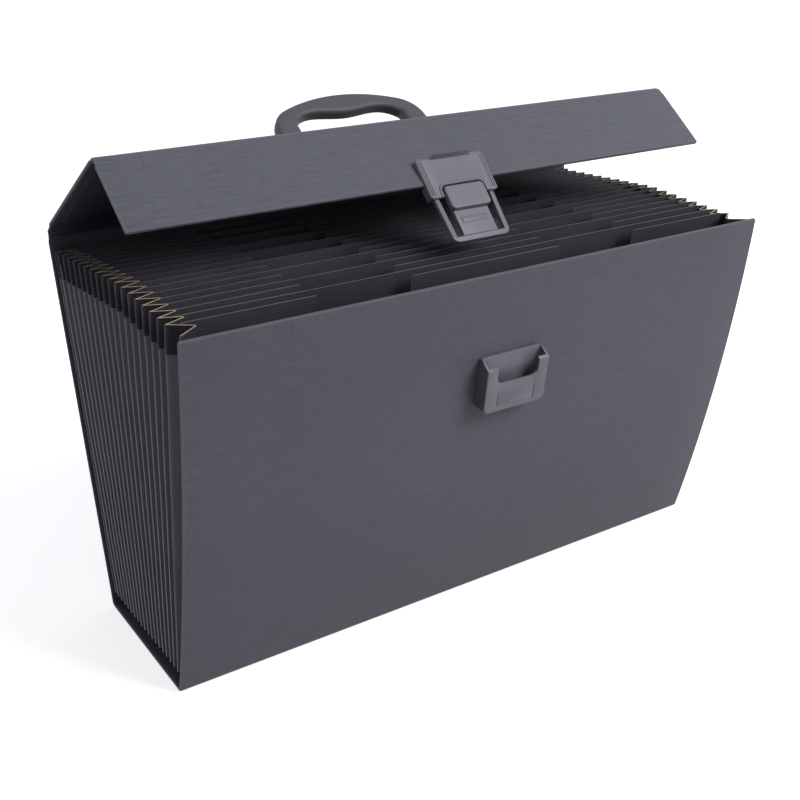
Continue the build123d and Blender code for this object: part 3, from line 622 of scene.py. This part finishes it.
def end_with_card(tree, closed, given, edge):
    """Realize a rule's result, give it its card and its cut edge, and end the tree."""
    real = put(tree, "GeometryNodeRealizeInstances", {0: closed}).outputs[0]
    carded = put(tree, "GeometryNodeSetMaterial", {"Geometry": real, "Material": given["Card"]}).outputs[0]
    cut = {"Geometry": carded, "Selection": edge, "Material": given["Cut edge"]}
    put(tree, "NodeGroupOutput", {0: put(tree, "GeometryNodeSetMaterial", cut).outputs[0]})


# %% [markdown]
# The pleats follow one rule: between two walls of the accordion the card runs in to a fold and out
# again, and each wall leans by its own angle. A node tree holds that rule, with the walls' feet
# and leans as inputs, so one tree makes every pleat and the tape over it. Columns crowd at the
# folds, the fold itself is rounded, and a noise of low height keeps the card from looking pressed.

# %% Node tree for a pleat
pleat_rule = rule(
    "pleat",
    (
        "Side",
        "Near foot",
        "Far foot",
        "Near slope",
        "Far slope",
        "Near bow",
        "Far bow",
        "Foot height",
        "Wall height",
        "Bottom",
        "Near top",
        "Far top",
        "Outer",
        "Depth",
        "Roundness",
        "Thickness",
        "Wave",
    ),
)
tree = pleat_rule
given = put(tree, "NodeGroupInput").outputs
sheet = put(tree, "GeometryNodeMeshGrid", {"Size X": 1.0, "Size Y": 1.0, "Vertices X": 27, "Vertices Y": 17})
flat = put(tree, "SeparateXYZ", {0: put(tree, "GeometryNodeInputPosition").outputs[0]}).outputs
even = put(tree, "Math", {0: flat[0], 1: 0.5}, operation="ADD").outputs[0]
swing = put(tree, "Math", {0: even, 1: 4 * math.pi}, operation="MULTIPLY").outputs[0]
swing = put(tree, "Math", {0: swing}, operation="SINE").outputs[0]
across = put(
    tree, "Math", {0: swing, 1: -0.75 / (4 * math.pi), 2: even}, operation="MULTIPLY_ADD"
).outputs[0]
up = put(tree, "Math", {0: flat[1], 1: 0.5}, operation="ADD").outputs[0]
top = put(tree, "Mix", {0: across, 2: given["Near top"], 3: given["Far top"]}).outputs[0]
height = put(tree, "Mix", {0: up, 2: given["Bottom"], 3: top}).outputs[0]
rise = put(tree, "Math", {0: height, 1: given["Foot height"]}, operation="SUBTRACT").outputs[0]
share = put(tree, "Math", {0: rise, 1: given["Wall height"]}, operation="DIVIDE").outputs[0]
left_over = put(tree, "Math", {0: 1.0, 1: share}, operation="SUBTRACT").outputs[0]
belly = put(tree, "Math", {0: share, 1: left_over}, operation="MULTIPLY").outputs[0]
walls = []
for wall in ("Near", "Far"):
    foot, slope, bow = (given[f"{wall} {size}"] for size in ("foot", "slope", "bow"))
    leaning = put(tree, "Math", {0: rise, 1: slope}, operation="MULTIPLY").outputs[0]
    straight = put(tree, "Math", {0: foot, 1: leaning}, operation="SUBTRACT").outputs[0]
    bowed = put(tree, "Math", {0: belly, 1: bow, 2: straight}, operation="MULTIPLY_ADD")
    walls.append(bowed.outputs[0])
deep = put(tree, "Mix", {0: across, 2: walls[0], 3: walls[1]}).outputs[0]
signed = put(tree, "Math", {0: across, 1: 2.0, 2: -1.0}, operation="MULTIPLY_ADD").outputs[0]
outness = put(tree, "Math", {0: signed}, operation="ABSOLUTE").outputs[0]
inness = put(tree, "Math", {0: 1.0, 1: outness}, operation="SUBTRACT").outputs[0]
squared = put(tree, "Math", {0: inness, 1: inness}, operation="MULTIPLY").outputs[0]
round_off = given["Roundness"]
soft = put(tree, "Math", {0: round_off, 1: round_off, 2: squared}, operation="MULTIPLY_ADD")
soft = put(tree, "Math", {0: soft.outputs[0], 1: 0.5}, operation="POWER").outputs[0]
soft = put(tree, "Math", {0: soft, 1: round_off}, operation="SUBTRACT").outputs[0]
inwards = put(tree, "Math", {0: soft, 1: given["Depth"]}, operation="MULTIPLY").outputs[0]
width = put(tree, "Math", {0: given["Outer"], 1: inwards}, operation="SUBTRACT").outputs[0]
where = put(tree, "CombineXYZ", {0: given["Side"], 1: deep, 2: height}).outputs[0]
uneven = put(tree, "TexNoise", {"Vector": where, "Scale": 28.0, "Detail": 1.0}).outputs[0]
uneven = put(tree, "Math", {0: uneven, 1: 0.5}, operation="SUBTRACT").outputs[0]
wavy = put(tree, "Math", {0: uneven, 1: given["Wave"], 2: width}, operation="MULTIPLY_ADD")
width = put(tree, "Math", {0: wavy.outputs[0], 1: given["Side"]}, operation="MULTIPLY").outputs[0]
spot = put(tree, "CombineXYZ", {0: width, 1: deep, 2: height}).outputs[0]
pale = put(tree, "Math", {0: outness, 1: 22.0}, operation="POWER").outputs[0]
mark = {"Geometry": sheet.outputs["Mesh"], "Name": "fold", "Value": pale}
marked = put(tree, "GeometryNodeStoreNamedAttribute", mark, data_type="FLOAT", domain="POINT").outputs[0]
bent = put(tree, "GeometryNodeSetPosition", {"Geometry": marked, "Position": spot}).outputs[0]
closed = thicken(tree, bent, given["Thickness"])
normal = put(tree, "GeometryNodeInputNormal").outputs[0]
upright = put(tree, "SeparateXYZ", {0: normal}).outputs[2]
on_top = put(tree, "FunctionNodeCompare", {0: upright, 1: 0.8}, operation="GREATER_THAN").outputs[0]
end_with_card(tree, closed, given, on_top)
print("pleat rule with", len(tree.nodes), "nodes")

# %% [markdown]
# A tree's result is live until it is turned into a plain mesh. This helper gives the tree its
# values by socket, reads the evaluated result once and keeps only the mesh.

# %% From a rule to a plain piece
def made_by(name, tree, values, start=None):
    """A plain mesh piece from a node tree and the values of its inputs."""
    host = bpy.data.objects.new("host", start or bpy.data.meshes.new("host"))
    bpy.context.scene.collection.objects.link(host)
    modifier = host.modifiers.new("rule", "NODES")
    modifier.node_group = tree
    for item in tree.interface.items_tree:
        if item.in_out == "INPUT" and item.name in values:
            modifier[item.identifier] = values[item.name]
    seen = host.evaluated_get(bpy.context.evaluated_depsgraph_get())
    mesh = bpy.data.meshes.new_from_object(seen)
    mesh.name = name
    bpy.data.objects.remove(host)
    for face in mesh.polygons:
        face.use_smooth = True
    mesh.set_sharp_from_angle(angle=math.radians(40))
    piece = bpy.data.objects.new(name, mesh)
    bpy.context.scene.collection.objects.link(piece)
    return piece


# %% [markdown]
# The accordion has a wall at each end, the front and back boards, and eighteen dividers between.
# Each wall is a foot, a lean and, for the front board, a bow. The dividers' leans come from the
# frame. A bow is a parabola, so it stands out by a quarter of its factor half way up.

# %% Walls of the accordion
lean_of_front = math.radians(10.05)
divider_foot = 4.4 * MM
lining_thickness = 0.5 * MM
wall_gap = 0.35 * MM
wall_height = 219.0 * MM
front_bow = 4.95 * MM
back_lean = math.pi / 2 - headings[1]
inside = board_thickness + lining_thickness + wall_gap
front_inner_foot = front_foot.y + inside / math.cos(front_foot_lean)
walls = [
    {
        "body": "front",
        "foot": front_inner_foot - divider_foot * math.tan(front_foot_lean),
        "lean": lean_of_front,
        "bow": -4 * front_bow,
    }
]
for number in range(1, divider_count + 1):
    name = f"divider_{number:02d}_lean"
    walls.append(
        {
            "body": f"leaf_{number:02d}",
            "foot": crease[name].y,
            "lean": lean_of_front * ratio[name],
            "bow": 0.0,
        }
    )
walls.append(
    {
        "body": "back",
        "foot": back_foot.y + divider_foot * math.tan(back_lean) - inside / math.cos(back_lean),
        "lean": -back_lean,
        "bow": 0.0,
    }
)
print(len(walls), "walls, leans", [round(math.degrees(w["lean"]), 1) for w in walls])

# %% [markdown]
# The tips of the pleats rise a little towards the middle of the file, as the photograph shows, and
# the right side stands lower than the left. A pleat lies between two walls that turn by different
# amounts; it is made at rest, not attached to either wall, and does not bend as they turn. The tips'
# line is three places for each side, with their heights, in millimetres.

# %% Pleats and their tape
gusset_outer = 190.5 * MM
gusset_depth = 12.0 * MM
gusset_bottom = 9.2 * MM
gusset_thickness = 0.7 * MM
gusset_wave = 0.8 * MM
fold_roundness = 0.04
tape_height = 15.5 * MM
tape_thickness = 0.25 * MM
tape_standoff = 0.3 * MM
tape_lowered = 0.4 * MM
tip_line = {
    -1: ((-70, 223.3), (-10, 226.6), (90, 218.8)),
    1: ((-72, 220.6), (-3, 224.6), (78, 219.8)),
}


def tip_height(side, depth):
    """How high the pleats' tips stand at a place between front and back."""
    front, middle, back = tip_line[side]
    place = depth / MM
    (y_a, z_a), (y_b, z_b) = (front, middle) if place <= middle[0] else (middle, back)
    return (z_a + (z_b - z_a) * max(0.0, min(1.0, (place - y_a) / (y_b - y_a)))) * MM


def wall_place(wall, rise):
    """Where a wall stands at a rise above the dividers' feet."""
    share = rise / wall_height
    return wall["foot"] - rise * math.tan(wall["lean"]) + wall["bow"] * share * (1 - share)


def bend_with_walls(piece):
    """Bake a pleat's place into its mesh; the pleat is not attached to a wall and does not bend."""
    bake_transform(piece)


for side, side_name in ((-1, "left"), (1, "right")):
    for pocket, (near, far) in enumerate(zip(walls, walls[1:]), start=1):
        first, second = (near, far) if side > 0 else (far, near)
        tops = [tip_height(side, wall_place(wall, wall_height)) for wall in (first, second)]
        values = {
            "Side": float(side),
            "Near foot": first["foot"],
            "Far foot": second["foot"],
            "Near slope": math.tan(first["lean"]),
            "Far slope": math.tan(second["lean"]),
            "Near bow": first["bow"],
            "Far bow": second["bow"],
            "Foot height": divider_foot,
            "Wall height": wall_height,
            "Bottom": gusset_bottom,
            "Near top": tops[0],
            "Far top": tops[1],
            "Outer": gusset_outer,
            "Depth": gusset_depth,
            "Roundness": fold_roundness,
            "Thickness": gusset_thickness,
            "Wave": gusset_wave,
            "Card": paper["slate_pleat_card"],
            "Cut edge": paper["bare_card_edge"],
        }
        piece = made_by(f"pleat_{side_name}_{pocket:02d}", pleat_rule, values)
        bend_with_walls(piece)
        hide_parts(f"gusset_{side_name}")
        values["Bottom"] = min(tops) - tape_height
        values["Near top"] = tops[0] - tape_lowered
        values["Far top"] = tops[1] - tape_lowered
        values["Outer"] = gusset_outer + tape_standoff
        values["Thickness"] = tape_thickness
        values["Card"] = cloth_tape
        values["Cut edge"] = cloth_tape
        piece = made_by(f"tape_{side_name}_{pocket:02d}", pleat_rule, values)
        bend_with_walls(piece)
        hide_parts(f"gusset_tape_{side_name}")
print("pleats and tapes for", len(walls) - 1, "pockets on each side")

# %% [markdown]
# A divider is a card cut from a sheet: every second one has two notches that leave three tabs, and
# the cards between are plain. The flat card is drawn once of each kind as columns of small faces.

# %% Flat cards
divider_height = 219.3 * MM
divider_half = 183.0 * MM
notch_start = 51.0 * MM
notch_end = 108.0 * MM
notch_depth = 12.0 * MM
notch_slope = 0.12 * MM
tab_corner = 1.5 * MM
tab_steps = 4
card_rows = 14
card_column = 9.0 * MM


def card(notched):
    """A flat card as columns of faces from its foot to its top edge."""
    ends = [(divider_half, 1)]
    if notched:
        ends = [(notch_start, 1), (notch_end, -1), (divider_half, 1)]
    half_line = [(0.0, divider_height)]
    for place, side in ends:
        tab = []
        for step in range(tab_steps + 1):
            turn = math.pi / 2 * step / tab_steps
            inset = tab_corner * (1 - math.sin(turn))
            drop = tab_corner * (1 - math.cos(turn))
            tab.append((place - side * inset, divider_height - drop))
        low = (place + side * notch_slope, divider_height - notch_depth)
        if side < 0:
            half_line += [low] + tab[::-1]
        else:
            half_line += tab + ([low] if place != divider_half else [])
    filled = []
    for (x_a, z_a), (x_b, z_b) in zip(half_line, half_line[1:]):
        parts = max(1, round((x_b - x_a) / card_column))
        filled += [(x_a + (x_b - x_a) * n / parts, z_a + (z_b - z_a) * n / parts) for n in range(parts)]
    filled.append(half_line[-1])
    line = [(-x, z) for x, z in filled[:0:-1]] + filled
    points = [(x, z * row / card_rows, 0.0) for x, z in line for row in range(card_rows + 1)]
    faces = []
    for column in range(len(line) - 1):
        for row in range(card_rows):
            a = column * (card_rows + 1) + row
            faces.append((a, a + card_rows + 1, a + card_rows + 2, a + 1))
    mesh = bpy.data.meshes.new("notched_card" if notched else "plain_card")
    mesh.from_pydata(points, [], faces)
    return mesh


cards = {True: card(True), False: card(False)}
print("cards with", [len(mesh.polygons) for mesh in cards.values()], "faces")

# %% [markdown]
# A second node tree stands a flat card at its foot, leans it and gives it thickness. A card is never
# quite flat, so a slow noise lets it warp, more towards its free top. The faces that look up or
# sideways are its cut edge.

# %% Node tree that stands a card
card_rule = rule("divider", ("Foot", "Foot height", "Lean", "Warp", "Seed", "Thickness"))
tree = card_rule
given = put(tree, "NodeGroupInput").outputs
flat_place = put(tree, "GeometryNodeInputPosition").outputs[0]
flat = put(tree, "SeparateXYZ", {0: flat_place}).outputs
seeded = put(tree, "CombineXYZ", {0: flat[0], 1: flat[1], 2: given["Seed"]}).outputs[0]
waves = put(tree, "TexNoise", {"Vector": seeded, "Scale": 9.0, "Detail": 1.0}).outputs[0]
waves = put(tree, "Math", {0: waves, 1: 0.5}, operation="SUBTRACT").outputs[0]
share = put(tree, "Math", {0: flat[1], 1: divider_height}, operation="DIVIDE").outputs[0]
waves = put(tree, "Math", {0: waves, 1: share}, operation="MULTIPLY").outputs[0]
warp = put(tree, "Math", {0: waves, 1: given["Warp"]}, operation="MULTIPLY").outputs[0]
warped = put(tree, "CombineXYZ", {0: flat[0], 1: flat[1], 2: warp}).outputs[0]
bent = put(tree, "GeometryNodeSetPosition", {"Geometry": given["Geometry"], "Position": warped}).outputs[0]
turn = put(tree, "Math", {0: given["Lean"], 1: math.pi / 2}, operation="ADD").outputs[0]
turn = put(tree, "CombineXYZ", {0: turn}).outputs[0]
foot = put(tree, "CombineXYZ", {1: given["Foot"], 2: given["Foot height"]}).outputs[0]
stand = {"Geometry": bent, "Translation": foot, "Rotation": turn}
stood = put(tree, "GeometryNodeTransform", stand).outputs[0]
half = put(tree, "Math", {0: given["Thickness"], 1: 0.5}, operation="MULTIPLY").outputs[0]
normal = put(tree, "GeometryNodeInputNormal").outputs[0]
out = put(tree, "VectorMath", {0: normal, "Scale": half}, operation="SCALE")
moved = put(tree, "GeometryNodeSetPosition", {"Geometry": stood, "Offset": out.outputs[0]}).outputs[0]
closed = thicken(tree, moved, given["Thickness"])
normal = put(tree, "GeometryNodeInputNormal").outputs[0]
facing = put(tree, "SeparateXYZ", {0: normal}).outputs[1]
flank = put(tree, "Math", {0: facing}, operation="ABSOLUTE").outputs[0]
edge = put(tree, "FunctionNodeCompare", {0: flank, 1: 0.6}, operation="LESS_THAN").outputs[0]
end_with_card(tree, closed, given, edge)
print("card rule with", len(tree.nodes), "nodes")

# %% [markdown]
# Each divider takes its foot and its lean from the wall that it is, and a seed of its own, so that
# no two cards warp alike.

# %% Stand the dividers
card_warp = 3.0 * MM
card_thickness = 0.6 * MM
seed_step = 0.37
for number in range(1, divider_count + 1):
    wall = walls[number]
    values = {
        "Foot": wall["foot"],
        "Foot height": divider_foot,
        "Lean": wall["lean"],
        "Warp": card_warp,
        "Seed": number * seed_step,
        "Thickness": card_thickness,
        "Card": paper["slate_divider_card"],
        "Cut edge": paper["dark_card_edge"],
    }
    piece = made_by(f"card_{number:02d}", card_rule, values, cards[number % 2 == 1].copy())
    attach(piece, wall["body"])
    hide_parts(f"divider_{number:02d}")
print("stood", divider_count, "dividers")

# %% [markdown]
# The linings, the pleated floor, the plates and the rivets already have their real shape as
# solids, so they keep it and only take a finish. A solid's own slots are filled, its mesh stays.

# %% Finish the solids that stay
finishes = {
    "lining": paper["black_lining_paper"],
    "pocket_floor": paper["floor_paper"],
    "plate": metal["zinc_plated_strip"],
    "rivets": metal["aluminium_rivet"],
}
for name, node in frame["nodes"].items():
    for key, material in finishes.items():
        if name.endswith(key):
            node.data.materials.clear()
            node.data.materials.append(material)
print("finished", [n for n in frame["nodes"] if any(n.endswith(k) for k in finishes)])

# %% [markdown]
# The moulded pieces are the solids' shapes with every sharp edge eased, because a mould leaves a
# small radius that catches a line of light. A copy's loose triangles are merged and its flat
# faces joined first, so that the bevel finds clean edges.

# %% Moulded pieces
def eased(name, node, material, body, slot, width):
    """A copy of a solid with its sharp edges rounded by a small bevel."""
    mesh = frame["nodes"][node].data.copy()
    mesh.name = name
    shape = bmesh.new()
    shape.from_mesh(mesh)
    bmesh.ops.remove_doubles(shape, verts=shape.verts, dist=1e-6)
    bmesh.ops.dissolve_limit(
        shape, angle_limit=math.radians(1.0), verts=shape.verts, edges=shape.edges
    )
    for face in shape.faces:
        face.smooth = True
    shape.to_mesh(mesh)
    shape.free()
    piece = bpy.data.objects.new(name, mesh)
    bpy.context.scene.collection.objects.link(piece)
    mesh.materials.clear()
    mesh.materials.append(material)
    bevel = piece.modifiers.new("ease", "BEVEL")
    bevel.width = width
    bevel.segments = 2
    bevel.limit_method = "ANGLE"
    bevel.angle_limit = math.radians(35)
    bevel.harden_normals = True
    seen = piece.evaluated_get(bpy.context.evaluated_depsgraph_get())
    final = bpy.data.meshes.new_from_object(seen)
    piece.modifiers.clear()
    piece.data = final
    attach(piece, body)
    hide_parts(node)
    return piece


moulded = [
    ("carry_handle", "handle_grip", plastic["moulded_grip_plastic"], "lid", "handle", 0.12 * MM),
    ("clip_housing", "latch_housing", plastic["moulded_latch_plastic"], "flap", "latch", 0.2 * MM),
    ("clip_frame", "latch_frame", plastic["moulded_latch_plastic"], "flap", "latch", 0.25 * MM),
    ("clip_button", "latch_button", plastic["moulded_latch_plastic"], "button", "latch", 0.2 * MM),
    ("socket", "catch", plastic["moulded_catch_plastic"], "front", "catch", 0.2 * MM),
]
shapes = {}
for plan in moulded:
    shapes[plan[0]] = eased(*plan).data
    print(plan[0], len(shapes[plan[0]].polygons), "faces")

# %% [markdown]
# The shaded plastic, a painted shade, is given to the sloped face under the housing's lip: the
# faces that stand out beyond the housing's flat front and look down along the latch.

# %% Shaded lip of the latch
latch_tilt = math.radians(9.0)
lip_rise = 2.0 * MM
latch_run = math.pi + flap_fall + latch_tilt
down = Vector((0, math.cos(latch_run), math.sin(latch_run)))
outward = Vector((0, math.sin(latch_run), -math.cos(latch_run)))
housing = shapes["clip_housing"]
crest = max(point.co.dot(outward) for point in housing.vertices)
housing.materials.append(plastic["shaded_latch_plastic"])
shaded_faces = 0
for face in housing.polygons:
    if face.center.dot(outward) > crest - lip_rise and face.normal.dot(down) > 0.5:
        face.material_index = 1
        shaded_faces += 1
print("shaded faces", shaded_faces)

# %% [markdown]
# In the photograph the catch's outer side is close to black, and so is part of its inside. The
# faces that look left or right, inside and outside, get the shaded plastic, a painted shade, to come
# nearer to it.

# %% Shaded side walls of the catch
socket = shapes["socket"]
socket.materials.append(plastic["shaded_latch_plastic"])
for face in socket.polygons:
    if abs(face.normal.x) > 0.8:
        face.material_index = 1
print("side faces", sum(face.material_index for face in socket.polygons))

# %% [markdown]
# A pale floor and a white surround, lit softly from above on the right. The camera sees the world
# as white, and so do mirrors and glass, while the object gets a plain even light. The floor keeps
# the object's shadow, and throws only a little light back up.

# %% Stage
def in_sight(tree):
    """1 for what is seen straight, in a mirror or through glass, and 0 for all other light."""
    rays = put(tree, "LightPath").outputs
    sight = rays["Is Camera Ray"]
    for kind in ("Is Glossy Ray", "Is Transmission Ray"):
        sight = put(tree, "Math", {0: sight, 1: rays[kind]}, operation="MAXIMUM").outputs[0]
    return sight


floor_half = 6.0
floor_drop = 0.6 * MM
corners = [(x * floor_half, y * floor_half, -floor_drop) for x, y in ((-1, -1), (1, -1), (1, 1), (-1, 1))]
floor_mesh = bpy.data.meshes.new("floor")
floor_mesh.from_pydata(corners, [], [(0, 1, 2, 3)])
floor = bpy.data.objects.new("floor", floor_mesh)
bpy.context.scene.collection.objects.link(floor)
floor_paint, tree, shader = surface("pale_floor_paint")
seen_direct = in_sight(tree)
floor_colour = put(
    tree, "Mix", {0: seen_direct, 6: linear("#6c6c6b"), 7: linear("#fbfbfa")}, data_type="RGBA"
).outputs[2]
tree.links.new(floor_colour, shader.inputs["Base Color"])
glow = put(tree, "Math", {0: seen_direct, 1: 0.62}, operation="MULTIPLY").outputs[0]
tree.links.new(glow, shader.inputs["Emission Strength"])
shader.inputs["Emission Color"].default_value = linear("#ffffff")
shader.inputs["Roughness"].default_value = 0.9
shader.inputs["Specular IOR Level"].default_value = 0.1
floor_mesh.materials.append(floor_paint)

world = bpy.data.worlds.new("studio")
bpy.context.scene.world = world
world.use_nodes = True
tree = world.node_tree
sky = put(
    tree, "Mix", {0: in_sight(tree), 6: linear("#a2a4aa"), 7: linear("#ffffff")}, data_type="RGBA"
).outputs[2]
tree.links.new(sky, tree.nodes["Background"].inputs["Color"])


def lamp(name, place, aim, size, watts):
    """A soft square lamp that looks at a point."""
    data = bpy.data.lights.new(name, "AREA")
    data.size = size
    data.energy = watts
    stand = bpy.data.objects.new(name, data)
    bpy.context.scene.collection.objects.link(stand)
    stand.location = place
    stand.rotation_mode = "QUATERNION"
    stand.rotation_quaternion = (Vector(aim) - Vector(place)).to_track_quat("-Z", "Y")


file_middle = (0, 0, 0.15)
lamp("key", (1.3, -1.8, 1.8), file_middle, 1.4, 60.0)
lamp("fill", (-1.6, -0.9, 0.9), file_middle, 1.2, 3.0)
bpy.context.scene.view_settings.view_transform = "Standard"
print("stage ready")
